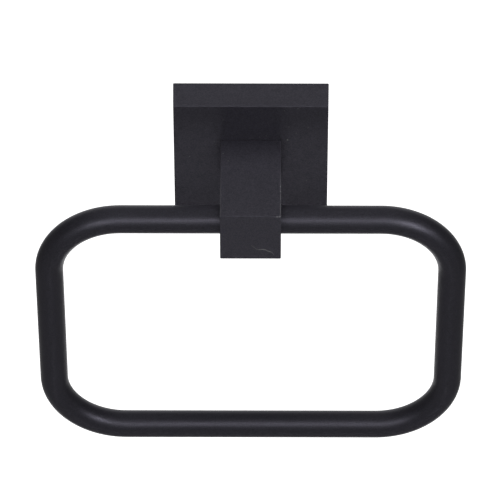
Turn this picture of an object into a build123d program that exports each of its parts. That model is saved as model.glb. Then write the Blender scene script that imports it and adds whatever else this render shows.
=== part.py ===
from build123d import *
import math
import os

# Wall-mounted towel ring. A square cast plate hides a wall bracket, a square arm stands out of the
# plate, and a bent rod is held in the arm's tip. All sizes are millimetres and angles are degrees.
# The origin is the plate's centre on the wall. +X is right, -Y comes out of the wall, +Z is up.

# Back plate, a cast cup that is open towards the wall
plate_side = 50.8
plate_depth = 10.6
plate_draft = 0.9
plate_face_wall = 3.0
plate_side_wall = 3.0
plate_edge_radius = 0.4
pocket_corner_radius = 3.0

# Arm, a square bar let into the plate's face
arm_side = 19.75
arm_reach = 35.0
arm_edge_radius = 0.35
arm_seat_depth = 1.0
arm_seat_gap = 0.05
arm_pad_margin = 2.5

# Ring, one round rod bent to a rounded rectangle
ring_width = 141.4
ring_height = 108.25
ring_rod_diameter = 9.25
ring_bend_radius = 23.8
ring_setback = 8.3
ring_end_gap = 1.0
ring_bore_gap = 0.05

# Wall bracket, a stamped strip with both ends bent out at a slant
bracket_width = 30.0
bracket_thickness = 2.0
bracket_flange_angle = 30.0
bracket_bend_radius = 1.5
bracket_corner_radius = 2.5
bracket_floor_room = 1.2
wall_hole_spacing = 20.0
wall_hole_diameter = 4.5

# Hook, the cast wedge at the plate's top that drops behind the bracket's upper flange
hook_width = 22.0
hook_wall_room = 0.6
hook_tip_room = 1.0
hook_lift_room = 3.4
hook_gap = 0.1

# Screws, all of one thread size
thread_diameter = 4.0
thread_gap = 0.05
screw_hole_gap = 0.25
pan_head_diameter = 8.0
pan_head_height = 2.4
cross_slot_length = 4.4
cross_slot_width = 1.0
cross_slot_depth = 1.4
arm_screw_spacing = 10.0
arm_screw_bite = 10.0
arm_hole_spare = 2.0
hex_socket_size = 2.0
hex_socket_depth = 1.8
grub_recess = 0.5
grub_seat_gap = 0.02
cone_point_radius = 0.4
ring_screw_spacing = 10.0
plate_screw_tip_room = 1.2

# Places that follow from the sizes above
pocket_side = plate_side - 2 * plate_side_wall
pocket_depth = plate_depth - plate_face_wall
pocket_floor_half = pocket_side / 2 - pocket_depth * math.tan(math.radians(plate_draft))
arm_seat_inset = plate_depth - arm_seat_depth
arm_tip_inset = plate_depth + arm_reach
ring_axis_inset = arm_tip_inset - ring_setback
screw_head_inset = pocket_depth - arm_seat_depth
thread_hole_radius = thread_diameter / 2 + thread_gap

flange_sine = math.sin(math.radians(bracket_flange_angle))
flange_cosine = math.cos(math.radians(bracket_flange_angle))
flange_slope = flange_sine / flange_cosine
half_sheet = bracket_thickness / 2
flange_run = pocket_depth - bracket_floor_room - half_sheet * (1 + flange_sine)
flange_rise = flange_run * flange_slope
bracket_half_height = pocket_floor_half - hook_lift_room
bend_height = bracket_half_height - flange_rise - half_sheet * flange_cosine
flange_tip_inset = half_sheet + flange_run - half_sheet * flange_sine


def flange_back(inset):
    """Height of the upper flange's wall side, at a distance from the wall."""
    corner_inset = half_sheet * (1 - flange_sine)
    corner_height = bend_height + half_sheet * flange_cosine
    return corner_height + (inset - corner_inset) * flange_slope


def hole_along_y(diameter, x, z, inset_from, inset_to):
    """Cutting cylinder square to the wall, between two distances from it."""
    start = Plane.XZ.offset(inset_from) * Pos(x, z)
    return extrude(start * Circle(diameter / 2), amount=inset_to - inset_from)


def hole_along_z(diameter, x, inset, z_from, z_to):
    """Upright cutting cylinder between two heights."""
    start = Plane.XY.offset(z_from) * Pos(x, -inset)
    return extrude(start * Circle(diameter / 2), amount=z_to - z_from)


def grub_screw(length):
    """Hex-socket screw with no head. The socket is at Z = 0 and the flat end is up."""
    body = extrude(Circle(thread_diameter / 2), amount=length)
    socket = RegularPolygon(hex_socket_size / 2, 6, major_radius=False)
    return body - extrude(socket, amount=hex_socket_depth)


def pan_head_screw(length):
    """Cross-slot screw. Its head sits on Z = 0 and its shank points down."""
    head = extrude(Circle(pan_head_diameter / 2), amount=pan_head_height)
    shank = extrude(Circle(thread_diameter / 2), amount=-length)
    slot_floor = Plane.XY.offset(pan_head_height - cross_slot_depth)
    slot = Rectangle(cross_slot_length, cross_slot_width)
    cross = slot + Rot(0, 0, 90) * slot
    return head + shank - extrude(slot_floor * cross, amount=cross_slot_depth)


# Back plate
def make_back_plate():
    body = extrude(Plane.XZ * Rectangle(plate_side, plate_side), amount=plate_depth, taper=plate_draft)
    back_edges = body.edges().group_by(Axis.Y)[-1]
    body = fillet(body.edges() - back_edges, plate_edge_radius)

    pocket_outline = RectangleRounded(pocket_side, pocket_side, pocket_corner_radius)
    pocket = extrude(Plane.XZ * pocket_outline, amount=pocket_depth, taper=plate_draft)
    pad_side = arm_side + 2 * arm_pad_margin
    pad = extrude(Plane.XZ.offset(screw_head_inset) * Rectangle(pad_side, pad_side), amount=arm_seat_depth)
    body -= pocket - pad

    seat_side = arm_side + 2 * arm_seat_gap
    seat_outline = RectangleRounded(seat_side, seat_side, arm_edge_radius + arm_seat_gap)
    body -= extrude(Plane.XZ.offset(arm_seat_inset) * seat_outline, amount=arm_seat_depth)
    for side in (-1, 1):
        body -= hole_along_y(
            thread_diameter + 2 * screw_hole_gap,
            0,
            side * arm_screw_spacing / 2,
            screw_head_inset,
            arm_seat_inset,
        )

    hook_front = flange_tip_inset - hook_tip_room
    hook_root = plate_side / 2 - plate_side_wall / 2
    hook_clear = hook_gap / flange_cosine
    hook_outline = Polyline(
        (-hook_wall_room, hook_root),
        (-hook_wall_room, flange_back(hook_wall_room) + hook_clear),
        (-hook_front, flange_back(hook_front) + hook_clear),
        (-hook_front, hook_root),
        close=True,
    )
    body += extrude(Plane.YZ * make_face(hook_outline), amount=hook_width / 2, both=True)

    body -= hole_along_z(
        2 * thread_hole_radius,
        0,
        flange_tip_inset - plate_screw_tip_room,
        -plate_side / 2,
        -pocket_floor_half,
    )
    return body


# Arm
def make_arm():
    length = arm_reach + arm_seat_depth
    bar = extrude(Plane.XZ.offset(arm_seat_inset) * Rectangle(arm_side, arm_side), amount=length)
    back_edges = bar.edges().group_by(Axis.Y)[-1]
    bar = fillet(bar.edges() - back_edges, arm_edge_radius)

    bore_start = Plane.YZ.offset(-arm_side / 2) * Pos(-ring_axis_inset, 0)
    bore_radius = ring_rod_diameter / 2 + ring_bore_gap
    bar -= extrude(bore_start * Circle(bore_radius), amount=arm_side)
    for side in (-1, 1):
        bar -= hole_along_y(
            2 * thread_hole_radius,
            0,
            side * arm_screw_spacing / 2,
            arm_seat_inset,
            arm_seat_inset + arm_screw_bite + arm_hole_spare,
        )
        bar -= hole_along_z(
            2 * thread_hole_radius,
            side * ring_screw_spacing / 2,
            ring_axis_inset,
            -arm_side / 2,
            0,
        )
    return bar


# Ring
def make_ring():
    half_width = (ring_width - ring_rod_diameter) / 2
    drop = ring_height - ring_rod_diameter
    start = (ring_end_gap / 2, -ring_axis_inset, 0)
    path = FilletPolyline(
        start,
        (half_width, -ring_axis_inset, 0),
        (half_width, -ring_axis_inset, -drop),
        (-half_width, -ring_axis_inset, -drop),
        (-half_width, -ring_axis_inset, 0),
        (-ring_end_gap / 2, -ring_axis_inset, 0),
        radius=ring_bend_radius,
    )
    section = Plane(start, z_dir=(1, 0, 0)) * Circle(ring_rod_diameter / 2)
    return sweep(section, path=path)


# Wall bracket
def make_wall_bracket():
    tip = (-half_sheet - flange_run, bend_height + flange_rise)
    bend = (-half_sheet, bend_height)
    middle_line = FilletPolyline(
        tip,
        bend,
        (bend[0], -bend[1]),
        (tip[0], -tip[1]),
        radius=bracket_bend_radius + half_sheet,
    )
    strip = extrude(Plane.YZ * trace(middle_line, bracket_thickness), amount=bracket_width / 2, both=True)
    corner_edges = strip.edges().filter_by(lambda edge: abs(edge.length - bracket_thickness) < 0.001)
    strip = fillet(corner_edges, bracket_corner_radius)
    for side in (-1, 1):
        strip -= hole_along_y(wall_hole_diameter, side * wall_hole_spacing / 2, 0, 0, bracket_thickness)
    return strip


# Plate screw, up through the plate's lower wall, with its point on the bracket's lower flange
def make_plate_grub_screw():
    inset = flange_tip_inset - plate_screw_tip_room
    tip_height = flange_back(inset) + cone_point_radius * flange_slope + grub_seat_gap
    socket_height = plate_side / 2 - grub_recess
    screw = grub_screw(socket_height - tip_height)
    screw = chamfer(screw.edges().sort_by(Axis.Z)[-1], thread_diameter / 2 - cone_point_radius)
    return Pos(0, -inset, -socket_height) * screw


# Arm screws, from inside the plate into the arm's back end
def make_arm_screws():
    grip = arm_seat_inset - screw_head_inset
    screw = Rot(-90, 0, 0) * pan_head_screw(grip + arm_screw_bite)
    return [
        Pos(0, -screw_head_inset, side * arm_screw_spacing / 2) * screw
        for side in (-1, 1)
    ]


# Ring screws, up through the arm's underside, one against each end of the rod
def make_ring_grub_screws():
    socket_height = arm_side / 2 - grub_recess
    tip_height = ring_rod_diameter / 2 + grub_seat_gap
    screw = grub_screw(socket_height - tip_height)
    return [
        Pos(side * ring_screw_spacing / 2, -ring_axis_inset, -socket_height) * screw
        for side in (-1, 1)
    ]


pieces = {
    "back_plate": make_back_plate(),
    "arm": make_arm(),
    "ring": make_ring(),
    "wall_bracket": make_wall_bracket(),
    "plate_grub_screw": make_plate_grub_screw(),
    "arm_screws": Compound(children=make_arm_screws()),
    "ring_grub_screws": Compound(children=make_ring_grub_screws()),
}

os.makedirs("parts", exist_ok=True)
for name, piece in pieces.items():
    export_step(piece, f"parts/{name}.step")
    print(name, "volume", round(piece.volume, 1), "mm3")
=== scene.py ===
import math

import bpy
from mathutils import Matrix, Vector


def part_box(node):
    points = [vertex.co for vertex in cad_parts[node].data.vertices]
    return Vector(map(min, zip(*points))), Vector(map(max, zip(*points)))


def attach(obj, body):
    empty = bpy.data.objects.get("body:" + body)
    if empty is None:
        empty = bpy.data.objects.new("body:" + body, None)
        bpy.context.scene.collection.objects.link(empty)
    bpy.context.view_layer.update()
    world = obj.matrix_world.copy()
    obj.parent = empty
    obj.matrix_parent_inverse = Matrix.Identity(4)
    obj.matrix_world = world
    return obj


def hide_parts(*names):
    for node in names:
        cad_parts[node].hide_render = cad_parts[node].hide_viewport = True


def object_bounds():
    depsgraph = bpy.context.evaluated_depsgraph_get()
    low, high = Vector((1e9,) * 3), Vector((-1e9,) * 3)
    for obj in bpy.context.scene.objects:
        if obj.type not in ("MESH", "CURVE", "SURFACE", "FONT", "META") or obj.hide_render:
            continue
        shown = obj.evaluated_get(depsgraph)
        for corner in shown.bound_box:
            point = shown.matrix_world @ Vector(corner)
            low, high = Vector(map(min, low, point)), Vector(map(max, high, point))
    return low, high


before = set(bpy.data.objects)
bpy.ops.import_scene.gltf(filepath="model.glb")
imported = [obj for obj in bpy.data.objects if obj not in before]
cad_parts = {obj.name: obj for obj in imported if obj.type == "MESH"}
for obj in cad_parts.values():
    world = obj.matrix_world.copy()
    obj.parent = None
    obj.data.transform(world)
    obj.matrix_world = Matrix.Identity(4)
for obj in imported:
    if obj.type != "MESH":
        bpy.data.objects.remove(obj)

cad_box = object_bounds()

# Back plate: a square cup die-cast in zinc, with a flat front and slightly tapered sides.
# It is ground, then sprayed and baked satin black, and a few specks of dust lie on its front.
# It drops over the bracket on the wall and carries the arm.
mm = 0.001


def add_node(tree, kind, inputs=None, **settings):
    """A node with its settings, and its inputs set to values or linked to other sockets."""
    node = tree.nodes.new(kind)
    for name, value in settings.items():
        setattr(node, name, value)
    for name, value in (inputs or {}).items():
        if isinstance(value, bpy.types.NodeSocket):
            tree.links.new(value, node.inputs[name])
        else:
            node.inputs[name].default_value = value
    return node


def maths(tree, operation, *terms):
    """One sum on numbers or sockets."""
    return add_node(tree, "ShaderNodeMath", dict(enumerate(terms)), operation=operation).outputs[0]


def vector_maths(tree, operation, *terms, result="Vector"):
    """One sum on vectors or sockets."""
    node = add_node(tree, "ShaderNodeVectorMath", dict(enumerate(terms)), operation=operation)
    return node.outputs[result]


def ramp(tree, value, low, high, low_result=0.0, high_result=1.0, shape="SMOOTHSTEP"):
    """A change from one result to another while a value goes from low to high."""
    inputs = {"Value": value, 1: low, 2: high, 3: low_result, 4: high_result}
    return add_node(tree, "ShaderNodeMapRange", inputs, interpolation_type=shape).outputs[0]


def blend_colour(tree, share, below, above):
    """The colour above laid over the one below by a mask."""
    return add_node(tree, "ShaderNodeMix", {0: share, 6: below, 7: above}, data_type="RGBA").outputs[2]


def scale_colour(tree, colour, share):
    """A colour made lighter or darker by a share."""
    return add_node(tree, "ShaderNodeVectorMath", {0: colour, "Scale": share}, operation="SCALE").outputs[0]


def new_group(name, kind, inputs, outputs):
    """An empty node group with named sockets, and the ends that its nodes link to."""
    group = bpy.data.node_groups.new(name, kind)
    for label, socket in inputs.items():
        group.interface.new_socket(label, in_out="INPUT", socket_type="NodeSocket" + socket)
    for label, socket in outputs.items():
        group.interface.new_socket(label, in_out="OUTPUT", socket_type="NodeSocket" + socket)
    entry = group.nodes.new("NodeGroupInput")
    way_out = group.nodes.new("NodeGroupOutput")
    return group, entry.outputs, way_out.inputs


def use_group(tree, group, inputs):
    """A shader group placed in a tree with its own values."""
    return add_node(tree, "ShaderNodeGroup", inputs, node_tree=group).outputs


def object_place(tree):
    """The place of each point in the piece's own frame."""
    return add_node(tree, "ShaderNodeTexCoord").outputs["Object"]


def noise(tree, scale, detail):
    """Cloudy values from 0 to 1, about 0.5, with so many clouds to the metre."""
    inputs = {"Vector": object_place(tree), "Scale": scale, "Detail": detail}
    return add_node(tree, "ShaderNodeTexNoise", inputs).outputs["Fac"]


def wander(tree, middle, amount, scale, detail):
    """A value that drifts in clouds to both sides of its middle."""
    off_middle = maths(tree, "SUBTRACT", noise(tree, scale, detail), 0.5)
    return maths(tree, "ADD", middle, maths(tree, "MULTIPLY", off_middle, amount))


# Film of baked paint or plating: a fine grain of tone, slow changes of gloss, and a shallow peel
film, film_in, film_out = new_group(
    "surface_film",
    "ShaderNodeTree",
    {"Grain": "Float", "Gloss": "Float", "Gloss change": "Float"},
    {"Tone": "Float", "Roughness": "Float", "Height": "Float"},
)
film_tone = wander(film, 1.0, film_in["Grain"], scale=2780.0, detail=1.0)
film_gloss = wander(film, film_in["Gloss"], film_in["Gloss change"], scale=60.0, detail=2.0)
film.links.new(film_tone, film_out["Tone"])
film.links.new(film_gloss, film_out["Roughness"])
film.links.new(noise(film, scale=900.0, detail=1.0), film_out["Height"])

# A round mark of dust or bare metal at one place
spot, spot_in, spot_out = new_group(
    "spot", "ShaderNodeTree", {"Place": "Vector", "Radius": "Float"}, {"Mask": "Float"}
)
spot_distance = vector_maths(spot, "DISTANCE", object_place(spot), spot_in["Place"], result="Value")
spot_share = maths(spot, "DIVIDE", spot_distance, spot_in["Radius"])
spot.links.new(ramp(spot, spot_share, low=1.0, high=0.5), spot_out["Mask"])

# Rubbed edges of a square piece: the second smallest depth below its faces is the distance to an edge
edges, edges_in, edges_out = new_group(
    "rubbed_edges",
    "ShaderNodeTree",
    {"Centre": "Vector", "Half size": "Vector", "Width": "Float"},
    {"Mask": "Float"},
)
from_centre = vector_maths(edges, "SUBTRACT", object_place(edges), edges_in["Centre"])
unsigned = vector_maths(edges, "ABSOLUTE", from_centre)
below_faces = vector_maths(edges, "SUBTRACT", edges_in["Half size"], unsigned)
below_side, below_front, below_top = add_node(edges, "ShaderNodeSeparateXYZ", {0: below_faces}).outputs
upright_edge = maths(edges, "MAXIMUM", below_side, below_front)
level_edge = maths(edges, "MAXIMUM", below_front, below_top)
depth_edge = maths(edges, "MAXIMUM", below_side, below_top)
edge_distance = maths(edges, "MINIMUM", maths(edges, "MINIMUM", upright_edge, level_edge), depth_edge)
edge_share = maths(edges, "DIVIDE", edge_distance, edges_in["Width"])
edge_close = ramp(edges, edge_share, low=1.0, high=0.3)
edge_clouds = noise(edges, scale=260.0, detail=3.0)
edge_broken = ramp(edges, edge_clouds, low=0.36, high=0.62, low_result=0.85, high_result=1.0)
edges.links.new(maths(edges, "MULTIPLY", edge_broken, edge_close), edges_out["Mask"])

paint_shine_tint = (0.84, 0.81, 1.0)
paint_peel = 4e-6
gloss_change = 0.12
mark_roughness = 1.0


def new_material(name):
    """A material, its node tree and its main shader."""
    material = bpy.data.materials.new(name)
    material.use_nodes = True
    return material, material.node_tree, material.node_tree.nodes["Principled BSDF"]


def coat(tree, shader, tone, roughness, height, peel):
    """Feeds a shader with its tone, its roughness, and a bump as deep as the peel."""
    tree.links.new(tone, shader.inputs["Base Color"])
    tree.links.new(roughness, shader.inputs["Roughness"])
    bump = add_node(tree, "ShaderNodeBump", {"Height": height, "Distance": peel, "Strength": 1.0})
    tree.links.new(bump.outputs["Normal"], shader.inputs["Normal"])


def black_paint(name, colour, shine, roughness, grain, marks):
    """Satin black paint. A mark is a function that makes its mask, with a strength and a colour."""
    material, tree, shader = new_material(name)
    shader.inputs["Specular IOR Level"].default_value = shine
    shader.inputs["Specular Tint"].default_value = (*paint_shine_tint, 1.0)
    skin = use_group(tree, film, {"Grain": grain, "Gloss": roughness, "Gloss change": gloss_change})
    tone = scale_colour(tree, colour, skin["Tone"])
    dullness = skin["Roughness"]
    for make_mask, strength, mark_colour in marks:
        share = maths(tree, "MULTIPLY", make_mask(tree), strength)
        tone = blend_colour(tree, share, tone, (*mark_colour, 1.0))
        dullness = add_node(tree, "ShaderNodeMix", {0: share, 2: dullness, 3: mark_roughness}).outputs[0]
    coat(tree, shader, tone, dullness, skin["Height"], paint_peel)
    return material


def spots(places, radius):
    """A mask of round marks at places in millimetres."""

    def make_mask(tree):
        mask = 0.0
        for place in places:
            mark = use_group(tree, spot, {"Place": Vector(place) * mm, "Radius": radius})
            mask = maths(tree, "MAXIMUM", mask, mark["Mask"])
        return mask

    return make_mask


def box_edges(node, width):
    """A mask of the rubbed edges of a square node."""
    low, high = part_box(node)

    def make_mask(tree):
        sizes = {"Centre": (low + high) / 2, "Half size": (high - low) / 2, "Width": width}
        return use_group(tree, edges, sizes)["Mask"]

    return make_mask


casting_colour = (0.0285, 0.0274, 0.0341)
casting_shine = 1.0
casting_roughness = 0.45
casting_grain = 2.6
rubbed_colour = (0.033, 0.032, 0.038)
rubbed_strength = 1.0
plate_rub_width = 0.6 * mm
dust_colour = (0.35, 0.35, 0.33)
speck_strength = 0.35
speck_radius = 0.22 * mm
fleck_strength = 0.55
fleck_radius = 0.34 * mm
plate_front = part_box("back_plate")[0].y / mm
speck_places = [
    (10.9, 23.2),
    (15.3, 24.2),
    (18.7, 15.6),
    (12.4, 15.9),
    (14.8, 13.1),
    (2.9, 11.3),
    (5.0, 11.8),
    (18.3, -8.6),
    (-9.0, 19.0),
    (-12.0, 9.1),
    (-20.1, 2.3),
]
plate_specks = [(x, plate_front, z) for x, z in speck_places]
plate_flecks = [(12.0, plate_front, 10.0)]

plate_paint = black_paint(
    "plate_paint",
    casting_colour,
    casting_shine,
    casting_roughness,
    casting_grain,
    [
        (box_edges("back_plate", plate_rub_width), rubbed_strength, rubbed_colour),
        (spots(plate_specks, speck_radius), speck_strength, dust_colour),
        (spots(plate_flecks, fleck_radius), fleck_strength, dust_colour),
    ],
)
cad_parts["back_plate"].material_slots[0].material = plate_paint

# Arm: a straight square bar of cast zinc, let into the plate's face and painted with it, with painted shade
# along the hairline seam where it meets the plate. Its upper edges are painted pale towards the tip, more so
# on the right, as rubbed paint and a painted highlight; they are chipped on the right too, and a fine curved
# scratch crosses the lower right of its end.
arm_low, arm_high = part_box("arm")
arm_right = arm_high.x / mm
arm_top = arm_high.z / mm
arm_tip = arm_low.y / mm
arm_rub_width = 0.35 * mm
# The pale colour on the arm's upper edges is rubbed paint and a painted highlight of those edges.
worn_and_highlight_colour = (0.1, 0.1, 0.105)
right_rub_and_highlight_strength = 0.9
left_rub_and_highlight_strength = 0.4
edge_rub_light_start = -21.0 * mm
edge_rub_light_full = -34.0 * mm
edge_rub_light_width = 0.45 * mm
edge_rub_light_solid = 0.4 * edge_rub_light_width
chip_colour = (0.16, 0.16, 0.17)
chip_strength = 0.8
chip_radius = 0.4 * mm
arm_chips = [
    (arm_right - 0.15, -32.0, arm_top),
    (arm_right - 0.15, -34.2, arm_top - 0.1),
    (arm_right - 1.3, arm_tip, arm_top - 0.25),
    (arm_right - 0.5, arm_tip, arm_top - 0.2),
]
arm_specks = [
    (-7.3, -20.3, arm_top),
    (-9.0, -16.9, arm_top),
]
scratch_colour = (0.27, 0.27, 0.26)
scratch_strength = 0.9
scratch_width = 0.15 * mm
scratch_solid = 0.4 * scratch_width
scratch_line = [
    (0.2, -3.5),
    (0.85, -4.1),
    (2.5, -5.45),
    (4.6, -5.4),
    (5.3, -5.95),
    (6.7, -6.55),
    (7.2, -7.15),
    (7.55, -7.9),
]
scratch_faint = 2.3 * mm
scratch_clear = 2.9 * mm
# Painted shade along the hairline joint where the arm meets the plate.
seam_shade_colour = (0.008, 0.008, 0.009)
seam_shade_strength = 0.7
seam_shade_width = 0.5 * mm
seam_shade_solid = 0.3 * seam_shade_width


def place_axes(tree):
    """The place of each point as three numbers."""
    return add_node(tree, "ShaderNodeSeparateXYZ", {0: object_place(tree)}).outputs


def upper_edge_rub_and_highlight(edge_x):
    """A mask of one of the arm's two upper edges, for rubbed paint and a painted highlight, stronger towards
    the tip.
    """

    def make_mask(tree):
        place = place_axes(tree)
        side = maths(tree, "ABSOLUTE", maths(tree, "SUBTRACT", edge_x, place["X"]))
        top = maths(tree, "SUBTRACT", arm_high.z, place["Z"])
        near = ramp(tree, maths(tree, "MAXIMUM", side, top), edge_rub_light_width, edge_rub_light_solid)
        along = ramp(tree, place["Y"], edge_rub_light_start, edge_rub_light_full)
        clouds = noise(tree, scale=420.0, detail=3.0)
        uneven = ramp(tree, clouds, low=0.3, high=0.6, low_result=0.35, high_result=1.0)
        return maths(tree, "MULTIPLY", maths(tree, "MULTIPLY", near, along), uneven)

    return make_mask


def painted_seam_shade(tree):
    """Painted shade: a dark hairline on the arm where it enters the plate, where shade falls in the joint.
    """
    face = plate_front * mm
    return ramp(tree, place_axes(tree)["Y"], face - seam_shade_width, face - seam_shade_solid)


def end_scratch(tree):
    """A thin line on the arm's end, whose height follows the scratch's points."""
    place = place_axes(tree)
    (first_x, first_z), (last_x, last_z) = scratch_line[0], scratch_line[-1]
    across = ramp(tree, place["X"], first_x * mm, last_x * mm, shape="LINEAR")
    line = add_node(tree, "ShaderNodeFloatCurve", {"Value": across})
    points = line.mapping.curves[0].points
    width, drop = last_x - first_x, first_z - last_z
    shares = [((x - first_x) / width, (z - last_z) / drop) for x, z in scratch_line]
    points[0].location, points[1].location = shares[0], shares[-1]
    for x, z in shares[1:-1]:
        points.new(x, z)
    line.mapping.update()
    line_height = ramp(tree, line.outputs[0], 0.0, 1.0, last_z * mm, first_z * mm, shape="LINEAR")
    off_line = maths(tree, "ABSOLUTE", maths(tree, "SUBTRACT", place["Z"], line_height))
    thin = ramp(tree, off_line, scratch_width, scratch_solid)
    after_first = maths(tree, "GREATER_THAN", place["X"], first_x * mm)
    before_last = maths(tree, "LESS_THAN", place["X"], last_x * mm)
    on_end = maths(tree, "LESS_THAN", place["Y"], arm_low.y + scratch_width)
    clouds = noise(tree, scale=500.0, detail=1.0)
    uneven = ramp(tree, clouds, low=0.35, high=0.6, low_result=0.6, high_result=1.0)
    mask = ramp(tree, place["X"], scratch_faint, scratch_clear, low_result=0.45, high_result=1.0)
    for limit in (uneven, thin, after_first, before_last, on_end):
        mask = maths(tree, "MULTIPLY", mask, limit)
    return mask


arm_paint = black_paint(
    "arm_paint",
    casting_colour,
    casting_shine,
    casting_roughness,
    casting_grain,
    [
        (box_edges("arm", arm_rub_width), rubbed_strength, rubbed_colour),
        # Rubbed paint and a painted highlight along the upper edges, stronger on the right and towards the
        # tip.
        (upper_edge_rub_and_highlight(arm_high.x), right_rub_and_highlight_strength, worn_and_highlight_colour),
        (upper_edge_rub_and_highlight(arm_low.x), left_rub_and_highlight_strength, worn_and_highlight_colour),
        # Painted shade in the joint between the arm and the plate.
        (painted_seam_shade, seam_shade_strength, seam_shade_colour),
        (spots(arm_chips, chip_radius), chip_strength, chip_colour),
        (spots(arm_specks, speck_radius), speck_strength, dust_colour),
        (end_scratch, scratch_strength, scratch_colour),
    ],
)
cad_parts["arm"].material_slots[0].material = arm_paint

# Arm screws: two zinc-plated machine screws with cross-slotted pan heads and rolled threads.
# They go in from inside the plate and pull the arm's back end into its seat.
thread_sides = 24
thread_steps = 12
thread_pitch = 0.7 * mm
thread_depth = 0.42 * mm
thread_bevel = 0.3 * mm
head_sides = 48
head_rings = 6
head_crown = 0.25
head_height = 2.4 * mm
head_overlap = 0.25
slot_length = 4.4 * mm
slot_width = 1.0 * mm
slot_depth = 1.4 * mm
metal_gloss_change = 0.2
metal_peel = 3e-6


def mesh_place(tree):
    """The place of each point of the mesh that is being made, as three numbers."""
    position = add_node(tree, "GeometryNodeInputPosition").outputs[0]
    return add_node(tree, "ShaderNodeSeparateXYZ", {0: position}).outputs


def vector_of(tree, x=0.0, y=0.0, z=0.0):
    """A vector made of numbers or sockets."""
    return add_node(tree, "ShaderNodeCombineXYZ", {0: x, 1: y, 2: z}).outputs[0]


def reshaped(tree, mesh, place):
    """A mesh with its points put at new places."""
    return add_node(tree, "GeometryNodeSetPosition", {"Geometry": mesh, "Position": place}).outputs[0]


def threaded_rod():
    """A round bar with a screw thread, from Z = 0 to its length, each end bevelled to its own radius."""
    tree, size, result = new_group(
        "threaded_rod",
        "GeometryNodeTree",
        {
            "Length": "Float",
            "Radius": "Float",
            "Pitch": "Float",
            "Thread depth": "Float",
            "Start radius": "Float",
            "End radius": "Float",
        },
        {"Rod": "Geometry"},
    )
    turns = maths(tree, "DIVIDE", size["Length"], size["Pitch"])
    bar = add_node(
        tree,
        "GeometryNodeMeshCylinder",
        {
            "Vertices": thread_sides,
            "Side Segments": maths(tree, "MULTIPLY", turns, thread_steps),
            "Radius": size["Radius"],
            "Depth": size["Length"],
        },
    ).outputs
    x, y, z = mesh_place(tree)
    from_start = maths(tree, "ADD", z, maths(tree, "DIVIDE", size["Length"], 2.0))
    turn = maths(tree, "DIVIDE", maths(tree, "ARCTAN2", y, x), math.tau)
    wave = maths(tree, "SUBTRACT", maths(tree, "DIVIDE", from_start, size["Pitch"]), turn)
    groove = maths(tree, "MULTIPLY", maths(tree, "PINGPONG", wave, 0.5), 2.0)
    radius = maths(tree, "SUBTRACT", size["Radius"], maths(tree, "MULTIPLY", groove, size["Thread depth"]))
    radius = maths(tree, "MINIMUM", radius, maths(tree, "ADD", size["Start radius"], from_start))
    to_end = maths(tree, "SUBTRACT", size["Length"], from_start)
    radius = maths(tree, "MINIMUM", radius, maths(tree, "ADD", size["End radius"], to_end))
    share = maths(tree, "DIVIDE", radius, size["Radius"])
    cut_x = maths(tree, "MULTIPLY", x, share)
    cut_y = maths(tree, "MULTIPLY", y, share)
    cut = reshaped(tree, bar["Mesh"], vector_of(tree, cut_x, cut_y, from_start))
    smooth = add_node(tree, "GeometryNodeSetShadeSmooth", {"Geometry": cut, "Selection": bar["Side"]})
    tree.links.new(smooth.outputs[0], result["Rod"])
    return tree


rod_with_thread = threaded_rod()


def place_thread(tree, sizes):
    """The threaded rod placed in another tree with its own sizes."""
    return add_node(tree, "GeometryNodeGroup", sizes, node_tree=rod_with_thread).outputs[0]


def moved(tree, piece, place):
    """A piece shifted to a place."""
    return add_node(tree, "GeometryNodeTransform", {"Geometry": piece, "Translation": place}).outputs[0]


def cut_away(tree, body, *cutters):
    """A solid less other solids."""
    node = add_node(tree, "GeometryNodeMeshBoolean", {0: body}, operation="DIFFERENCE", solver="EXACT")
    for cutter in cutters:
        tree.links.new(cutter, node.inputs[1])
    return node.outputs["Mesh"]


def plain_mesh(tree, piece, material):
    """The end of every tree: one plain mesh of one material."""
    whole = add_node(tree, "GeometryNodeRealizeInstances", {"Geometry": piece}).outputs[0]
    return add_node(tree, "GeometryNodeSetMaterial", {"Geometry": whole, "Material": material}).outputs[0]


def set_out(tree, piece, places, turn):
    """The piece at each place."""
    inputs = {"Points": places, "Instance": piece, "Rotation": turn}
    return add_node(tree, "GeometryNodeInstanceOnPoints", inputs).outputs[0]


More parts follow.
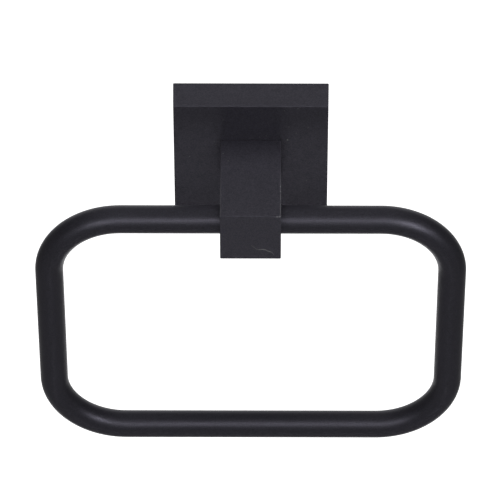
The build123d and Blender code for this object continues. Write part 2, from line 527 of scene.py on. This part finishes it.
def pan_head_screws():
    """Cross-slot screws at places. The head sits below Z = 0 and the shank points up before it is turned."""
    tree, size, result = new_group(
        "pan_head_screws",
        "GeometryNodeTree",
        {
            "Places": "Geometry",
            "Turn": "Rotation",
            "Shank length": "Float",
            "Shank radius": "Float",
            "Pitch": "Float",
            "Thread depth": "Float",
            "Tip radius": "Float",
            "Head radius": "Float",
            "Head height": "Float",
            "Slot length": "Float",
            "Slot width": "Float",
            "Slot depth": "Float",
            "Metal": "Material",
        },
        {"Screws": "Geometry"},
    )
    head = add_node(
        tree,
        "GeometryNodeMeshCylinder",
        {
            "Vertices": head_sides,
            "Fill Segments": head_rings,
            "Radius": size["Head radius"],
            "Depth": size["Head height"],
        },
        fill_type="TRIANGLE_FAN",
    ).outputs["Mesh"]
    x, y, z = mesh_place(tree)
    reach = maths(tree, "ADD", maths(tree, "MULTIPLY", x, x), maths(tree, "MULTIPLY", y, y))
    reach = maths(tree, "DIVIDE", reach, maths(tree, "MULTIPLY", size["Head radius"], size["Head radius"]))
    fall = maths(tree, "MULTIPLY", maths(tree, "POWER", reach, 2.0), head_crown)
    crown = maths(tree, "SUBTRACT", 1.0, fall)
    outer = maths(tree, "MULTIPLY", maths(tree, "LESS_THAN", z, 0.0), crown)
    head_bottom = maths(tree, "MULTIPLY", size["Head height"], -1.0)
    domed = reshaped(tree, head, vector_of(tree, x, y, maths(tree, "MULTIPLY", head_bottom, outer)))
    root = maths(tree, "MULTIPLY", size["Head height"], head_overlap)
    shank = place_thread(
        tree,
        {
            "Length": maths(tree, "ADD", size["Shank length"], root),
            "Radius": size["Shank radius"],
            "Pitch": size["Pitch"],
            "Thread depth": size["Thread depth"],
            "Start radius": size["Shank radius"],
            "End radius": size["Tip radius"],
        },
    )
    rooted = moved(tree, shank, vector_of(tree, z=maths(tree, "MULTIPLY", root, -1.0)))
    screw = add_node(tree, "GeometryNodeMeshBoolean", operation="UNION", solver="EXACT")
    tree.links.new(domed, screw.inputs[1])
    tree.links.new(rooted, screw.inputs[1])
    slot_height = maths(tree, "MULTIPLY", size["Slot depth"], 2.0)
    slots = []
    for length, width in (("Slot length", "Slot width"), ("Slot width", "Slot length")):
        slot_size = vector_of(tree, size[length], size[width], slot_height)
        block = add_node(tree, "GeometryNodeMeshCube", {"Size": slot_size}).outputs["Mesh"]
        slots.append(moved(tree, block, vector_of(tree, z=head_bottom)))
    slotted = cut_away(tree, screw.outputs["Mesh"], *slots)
    screws = set_out(tree, slotted, size["Places"], size["Turn"])
    tree.links.new(plain_mesh(tree, screws, size["Metal"]), result["Screws"])
    return tree


def grow(name, start_mesh, tree, inputs):
    """Runs a tree on a starting mesh and keeps the result as a plain mesh."""
    piece = bpy.data.objects.new(name, start_mesh)
    bpy.context.scene.collection.objects.link(piece)
    modifier = piece.modifiers.new(tree.name, "NODES")
    modifier.node_group = tree
    sockets = {item.name: item.identifier for item in tree.interface.items_tree}
    for label, value in inputs.items():
        modifier[sockets[label]] = value
    depsgraph = bpy.context.evaluated_depsgraph_get()
    mesh = bpy.data.meshes.new_from_object(piece.evaluated_get(depsgraph), depsgraph=depsgraph)
    piece.modifiers.clear()
    piece.data = mesh
    return piece


def line_mesh(name, places, joined=()):
    """A mesh of points at places, with edges between those that are joined."""
    mesh = bpy.data.meshes.new(name)
    mesh.from_pydata(places, joined, [])
    return mesh


def bare_metal(name, colour, tint, roughness, grain):
    """Plated or blackened steel: two close colours in slow clouds under a fine grain."""
    material, tree, shader = new_material(name)
    shader.inputs["Metallic"].default_value = 1.0
    skin = use_group(tree, film, {"Grain": grain, "Gloss": roughness, "Gloss change": metal_gloss_change})
    cloud = ramp(tree, noise(tree, scale=140.0, detail=3.0), low=0.35, high=0.65)
    clouded = blend_colour(tree, cloud, (*colour, 1.0), (*tint, 1.0))
    tone = scale_colour(tree, clouded, skin["Tone"])
    coat(tree, shader, tone, skin["Roughness"], skin["Height"], metal_peel)
    return material


zinc_plating = bare_metal(
    "zinc_plating", colour=(0.56, 0.56, 0.54), tint=(0.48, 0.51, 0.56), roughness=0.36, grain=0.25
)
shank_radius = (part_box("plate_grub_screw")[1].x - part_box("plate_grub_screw")[0].x) / 2
screws_low, screws_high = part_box("arm_screws")
head_radius = (screws_high.x - screws_low.x) / 2
head_seat = screws_high.y - head_height
arm_screws = grow(
    "pan_head_screws",
    line_mesh(
        "arm_screw_places",
        [(0, head_seat, screws_low.z + head_radius), (0, head_seat, screws_high.z - head_radius)],
    ),
    pan_head_screws(),
    {
        "Turn": (math.pi / 2, 0, 0),
        "Shank length": head_seat - screws_low.y,
        "Shank radius": shank_radius,
        "Pitch": thread_pitch,
        "Thread depth": thread_depth,
        "Tip radius": shank_radius - thread_bevel,
        "Head radius": head_radius,
        "Head height": head_height,
        "Slot length": slot_length,
        "Slot width": slot_width,
        "Slot depth": slot_depth,
        "Metal": zinc_plating,
    },
)
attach(arm_screws, "root")
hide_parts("arm_screws")

# Ring: one length of round steel rod, bent at four corners until its ends meet inside the arm.
# Drawn rod is smoother than the castings, so the same black paint shows less grain on it.
ring_low, ring_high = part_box("ring")
rod_diameter = ring_high.y - ring_low.y
bend_radius = 23.8 * mm
end_gap = 1.0 * mm
rod_sides = 64
bend_steps = 32
rod_colour = (0.0198, 0.0191, 0.0238)
rod_shine = 0.65
rod_roughness = 0.42
rod_grain = 2.0

rod_paint = black_paint("rod_paint", rod_colour, rod_shine, rod_roughness, rod_grain, [])


def bent_rod():
    """Rounds the corners of a line of edges and sweeps a round rod along it."""
    tree, size, result = new_group(
        "bent_rod",
        "GeometryNodeTree",
        {
            "Route": "Geometry",
            "Rod diameter": "Float",
            "Bend radius": "Float",
            "Rod sides": "Int",
            "Bend steps": "Int",
            "Paint": "Material",
        },
        {"Rod": "Geometry"},
    )
    line = add_node(tree, "GeometryNodeMeshToCurve", {"Mesh": size["Route"]}).outputs[0]
    bends = add_node(
        tree,
        "GeometryNodeFilletCurve",
        {"Curve": line, "Count": size["Bend steps"], "Radius": size["Bend radius"]},
        mode="POLY",
    ).outputs[0]
    radius = maths(tree, "DIVIDE", size["Rod diameter"], 2.0)
    section = add_node(
        tree, "GeometryNodeCurvePrimitiveCircle", {"Resolution": size["Rod sides"], "Radius": radius}
    ).outputs[0]
    rod = add_node(
        tree, "GeometryNodeCurveToMesh", {"Curve": bends, "Profile Curve": section, "Fill Caps": True}
    ).outputs[0]
    smooth = add_node(tree, "GeometryNodeSetShadeSmooth", {"Geometry": rod}).outputs[0]
    tree.links.new(plain_mesh(tree, smooth, size["Paint"]), result["Rod"])
    return tree


rod_radius = rod_diameter / 2
bar_right = ring_high.x - rod_radius
bar_top = ring_high.z - rod_radius
bar_bottom = ring_low.z + rod_radius
bar_depth = (ring_low.y + ring_high.y) / 2
corners = [
    (end_gap / 2, bar_depth, bar_top),
    (bar_right, bar_depth, bar_top),
    (bar_right, bar_depth, bar_bottom),
    (-bar_right, bar_depth, bar_bottom),
    (-bar_right, bar_depth, bar_top),
    (-end_gap / 2, bar_depth, bar_top),
]
ring = grow(
    "bent_ring",
    line_mesh("ring_route", corners, [(i, i + 1) for i in range(len(corners) - 1)]),
    bent_rod(),
    {
        "Rod diameter": rod_diameter,
        "Bend radius": bend_radius,
        "Rod sides": rod_sides,
        "Bend steps": bend_steps,
        "Paint": rod_paint,
    },
)
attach(ring, "root")
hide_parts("ring")

# Ring screws: two short hex-socket grub screws of blackened steel, driven up into the arm's
# underside until their flat ends press on the rod, one on each side of the joint between its ends.
socket_size = 2.0 * mm
socket_depth = 1.8 * mm
hexagon_sides = 6


def grub_screws():
    """Headless hex-socket screws at places. The socket is at Z = 0 and the point is up."""
    tree, size, result = new_group(
        "grub_screws",
        "GeometryNodeTree",
        {
            "Places": "Geometry",
            "Length": "Float",
            "Radius": "Float",
            "Pitch": "Float",
            "Thread depth": "Float",
            "Rim radius": "Float",
            "Point radius": "Float",
            "Socket size": "Float",
            "Socket depth": "Float",
            "Metal": "Material",
        },
        {"Screws": "Geometry"},
    )
    body = place_thread(
        tree,
        {
            "Length": size["Length"],
            "Radius": size["Radius"],
            "Pitch": size["Pitch"],
            "Thread depth": size["Thread depth"],
            "Start radius": size["Rim radius"],
            "End radius": size["Point radius"],
        },
    )
    key = add_node(
        tree,
        "GeometryNodeMeshCylinder",
        {
            "Vertices": hexagon_sides,
            "Radius": maths(tree, "DIVIDE", size["Socket size"], math.sqrt(3)),
            "Depth": maths(tree, "MULTIPLY", size["Socket depth"], 2.0),
        },
    ).outputs["Mesh"]
    screws = set_out(tree, cut_away(tree, body, key), size["Places"], (0, 0, 0))
    tree.links.new(plain_mesh(tree, screws, size["Metal"]), result["Screws"])
    return tree


black_oxide = bare_metal(
    "black_oxide", colour=(0.06, 0.06, 0.064), tint=(0.085, 0.082, 0.08), roughness=0.42, grain=0.3
)
grub_tree = grub_screws()
grub_sizes = {
    "Radius": shank_radius,
    "Pitch": thread_pitch,
    "Thread depth": thread_depth,
    "Rim radius": shank_radius - thread_bevel,
    "Socket size": socket_size,
    "Socket depth": socket_depth,
    "Metal": black_oxide,
}
grubs_low, grubs_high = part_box("ring_grub_screws")
grub_depth = (grubs_low.y + grubs_high.y) / 2
ring_screws = grow(
    "ring_set_screws",
    line_mesh(
        "ring_screw_places",
        [
            (grubs_low.x + shank_radius, grub_depth, grubs_low.z),
            (grubs_high.x - shank_radius, grub_depth, grubs_low.z),
        ],
    ),
    grub_tree,
    {**grub_sizes, "Length": grubs_high.z - grubs_low.z, "Point radius": shank_radius - thread_bevel},
)
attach(ring_screws, "root")
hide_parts("ring_grub_screws")

# Wall bracket: a strip stamped from 2 mm steel sheet and zinc plated, with both ends bent out.
# Two screws through its holes fix it to the wall, and the plate's hook drops behind its upper end.
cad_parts["wall_bracket"].material_slots[0].material = zinc_plating

# Plate screw: one hex-socket grub screw of blackened steel with a cone point. It is driven up
# through the plate's lower wall against the bracket's lower end, and pulls the plate to the wall.
cone_point_radius = 0.4 * mm
plate_screw_low, plate_screw_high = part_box("plate_grub_screw")
plate_screw_depth = (plate_screw_low.y + plate_screw_high.y) / 2
plate_screw = grow(
    "plate_set_screw",
    line_mesh("plate_screw_place", [(0, plate_screw_depth, plate_screw_low.z)]),
    grub_tree,
    {**grub_sizes, "Length": plate_screw_high.z - plate_screw_low.z, "Point radius": cone_point_radius},
)
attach(plate_screw, "root")
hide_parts("plate_grub_screw")

# Studio: a camera with a long lens well above the object, at the photograph's angle. Wide lamps in
# front, above and below light the surfaces, and three softboxes near the object shine in the paint.
# The room is dim, with a soft glow overhead, and a pale floor and a white backdrop stand behind.
camera_elevation = 45.811
camera_turn = 0.3
camera_roll = -0.1
camera_distance = 1.4637
focal_pixels = 4407.8
frame_pixels = 500
aim = Vector((-0.287, -20.0, -31.969)) * mm


def direction(azimuth, elevation):
    """The way from the object to a place at an azimuth and an elevation in degrees."""
    turn, rise = math.radians(azimuth), math.radians(elevation)
    return Vector((math.sin(turn) * math.cos(rise), -math.cos(turn) * math.cos(rise), math.sin(rise)))


to_camera = direction(camera_turn, camera_elevation)
camera_data = bpy.data.cameras.new("camera")
camera_data.sensor_width = 36.0
camera_data.lens = focal_pixels * camera_data.sensor_width / frame_pixels
camera = bpy.data.objects.new("camera", camera_data)
camera.location = aim + to_camera * camera_distance
camera.rotation_mode = "QUATERNION"
level_view = to_camera.to_track_quat("Z", "Y").to_matrix()
roll = Matrix.Rotation(math.radians(camera_roll), 3, "Z")
camera.rotation_quaternion = (level_view @ roll).to_quaternion()
bpy.context.scene.collection.objects.link(camera)
bpy.context.scene.camera = camera
bpy.context.scene.view_settings.view_transform = "Standard"


def panel_lamp(name, way, distance, width, height, radiance, lights=True, shines=True):
    """A soft flat lamp that faces the object and lights its surfaces, shines in their gloss, or both."""
    data = bpy.data.lights.new(name, "AREA")
    data.shape = "RECTANGLE"
    data.size = width
    data.size_y = height
    data.energy = radiance * math.pi * width * height
    lamp = bpy.data.objects.new(name, data)
    lamp.location = aim + way * distance
    lamp.rotation_mode = "QUATERNION"
    lamp.rotation_quaternion = way.to_track_quat("Z", "Y")
    lamp.visible_camera = False
    lamp.visible_diffuse = lights
    lamp.visible_glossy = shines
    bpy.context.scene.collection.objects.link(lamp)


front = direction(0.0, 38.0)
above = direction(0.0, 103.0)
below = direction(0.0, -45.0)
left = direction(-25.0, 27.0)
right = direction(39.0, 27.0)
middle = direction(5.0, 41.0)
panel_lamp("front_light", front, distance=1.3, width=0.55, height=0.55, radiance=3.2, shines=False)
panel_lamp("ceiling_light", above, distance=1.0, width=0.9, height=0.9, radiance=2.8, shines=False)
panel_lamp("table_bounce", below, distance=1.0, width=0.2, height=0.6, radiance=17.0, shines=False)
panel_lamp("left_softbox", left, distance=0.45, width=0.12, height=0.12, radiance=8.6, lights=False)
panel_lamp("right_softbox", right, distance=0.45, width=0.16, height=0.12, radiance=11.0, lights=False)
panel_lamp("middle_softbox", middle, distance=0.45, width=0.21, height=0.12, radiance=3.3, lights=False)

floor_drop = 0.42
floor_width = 0.4
floor_front = 0.05
floor_length = 0.8
floor_colour = (0.85, 0.85, 0.85)
floor_level = cad_box[0].z - floor_drop
floor_right = floor_width / 2
floor_back = floor_front + floor_length
floor_corners = [
    (-floor_right, floor_front, floor_level),
    (floor_right, floor_front, floor_level),
    (floor_right, floor_back, floor_level),
    (-floor_right, floor_back, floor_level),
]
floor_mesh = bpy.data.meshes.new("floor")
floor_mesh.from_pydata(floor_corners, [], [(0, 1, 2, 3)])
floor_material = bpy.data.materials.new("pale_floor")
floor_material.use_nodes = True
floor_tree = floor_material.node_tree
floor_tree.nodes.clear()
floor_rays = add_node(floor_tree, "ShaderNodeLightPath").outputs
floor_seen = maths(floor_tree, "MAXIMUM", floor_rays["Is Camera Ray"], floor_rays["Is Glossy Ray"])
floor_white = maths(floor_tree, "MAXIMUM", floor_seen, floor_rays["Is Transmission Ray"])
floor_diffuse = add_node(floor_tree, "ShaderNodeBsdfDiffuse", {"Color": (*floor_colour, 1.0)})
floor_glow = add_node(floor_tree, "ShaderNodeEmission", {"Strength": floor_white})
floor_shaders = {0: floor_diffuse.outputs[0], 1: floor_glow.outputs[0]}
floor_sum = add_node(floor_tree, "ShaderNodeAddShader", floor_shaders)
add_node(floor_tree, "ShaderNodeOutputMaterial", {"Surface": floor_sum.outputs[0]})
floor_mesh.materials.append(floor_material)
floor = bpy.data.objects.new("floor", floor_mesh)
bpy.context.scene.collection.objects.link(floor)

room_level = 0.15
room_top = 0.4
room_bottom = -0.1
overhead_level = 0.21
overhead_low = 0.4
overhead_high = 0.9
backdrop_way = direction(180.0, -25.0)
backdrop_edge = 0.28
backdrop_middle = 1.1
backdrop_side = 0.8
backdrop_centre = 0.4
white_level = 1.0
world = bpy.data.worlds.new("studio")
bpy.context.scene.world = world
world.use_nodes = True
sky = world.node_tree
sky.nodes.clear()
toward = add_node(sky, "ShaderNodeTexCoord").outputs["Generated"]
across, _, rise = add_node(sky, "ShaderNodeSeparateXYZ", {0: toward}).outputs
room = ramp(sky, rise, room_top, room_bottom, 0.0, room_level)
overhead = ramp(sky, rise, overhead_low, overhead_high, 0.0, overhead_level)
dim_light = maths(sky, "ADD", room, overhead)
behind = vector_maths(sky, "DOT_PRODUCT", toward, backdrop_way, result="Value")
backdrop_rise = ramp(sky, behind, backdrop_edge, backdrop_middle)
backdrop_width = ramp(sky, maths(sky, "ABSOLUTE", across), backdrop_side, backdrop_centre)
backdrop = maths(sky, "MULTIPLY", backdrop_rise, backdrop_width)
rays = add_node(sky, "ShaderNodeLightPath").outputs
mirrored = maths(sky, "MULTIPLY", rays["Is Glossy Ray"], backdrop)
seen = maths(sky, "MAXIMUM", rays["Is Camera Ray"], rays["Is Transmission Ray"])
white = maths(sky, "MAXIMUM", seen, mirrored)
level = add_node(sky, "ShaderNodeMix", {0: white, 2: dim_light, 3: white_level}).outputs[0]
sky_light = add_node(sky, "ShaderNodeBackground", {"Strength": level})
add_node(sky, "ShaderNodeOutputWorld", {"Surface": sky_light.outputs[0]})
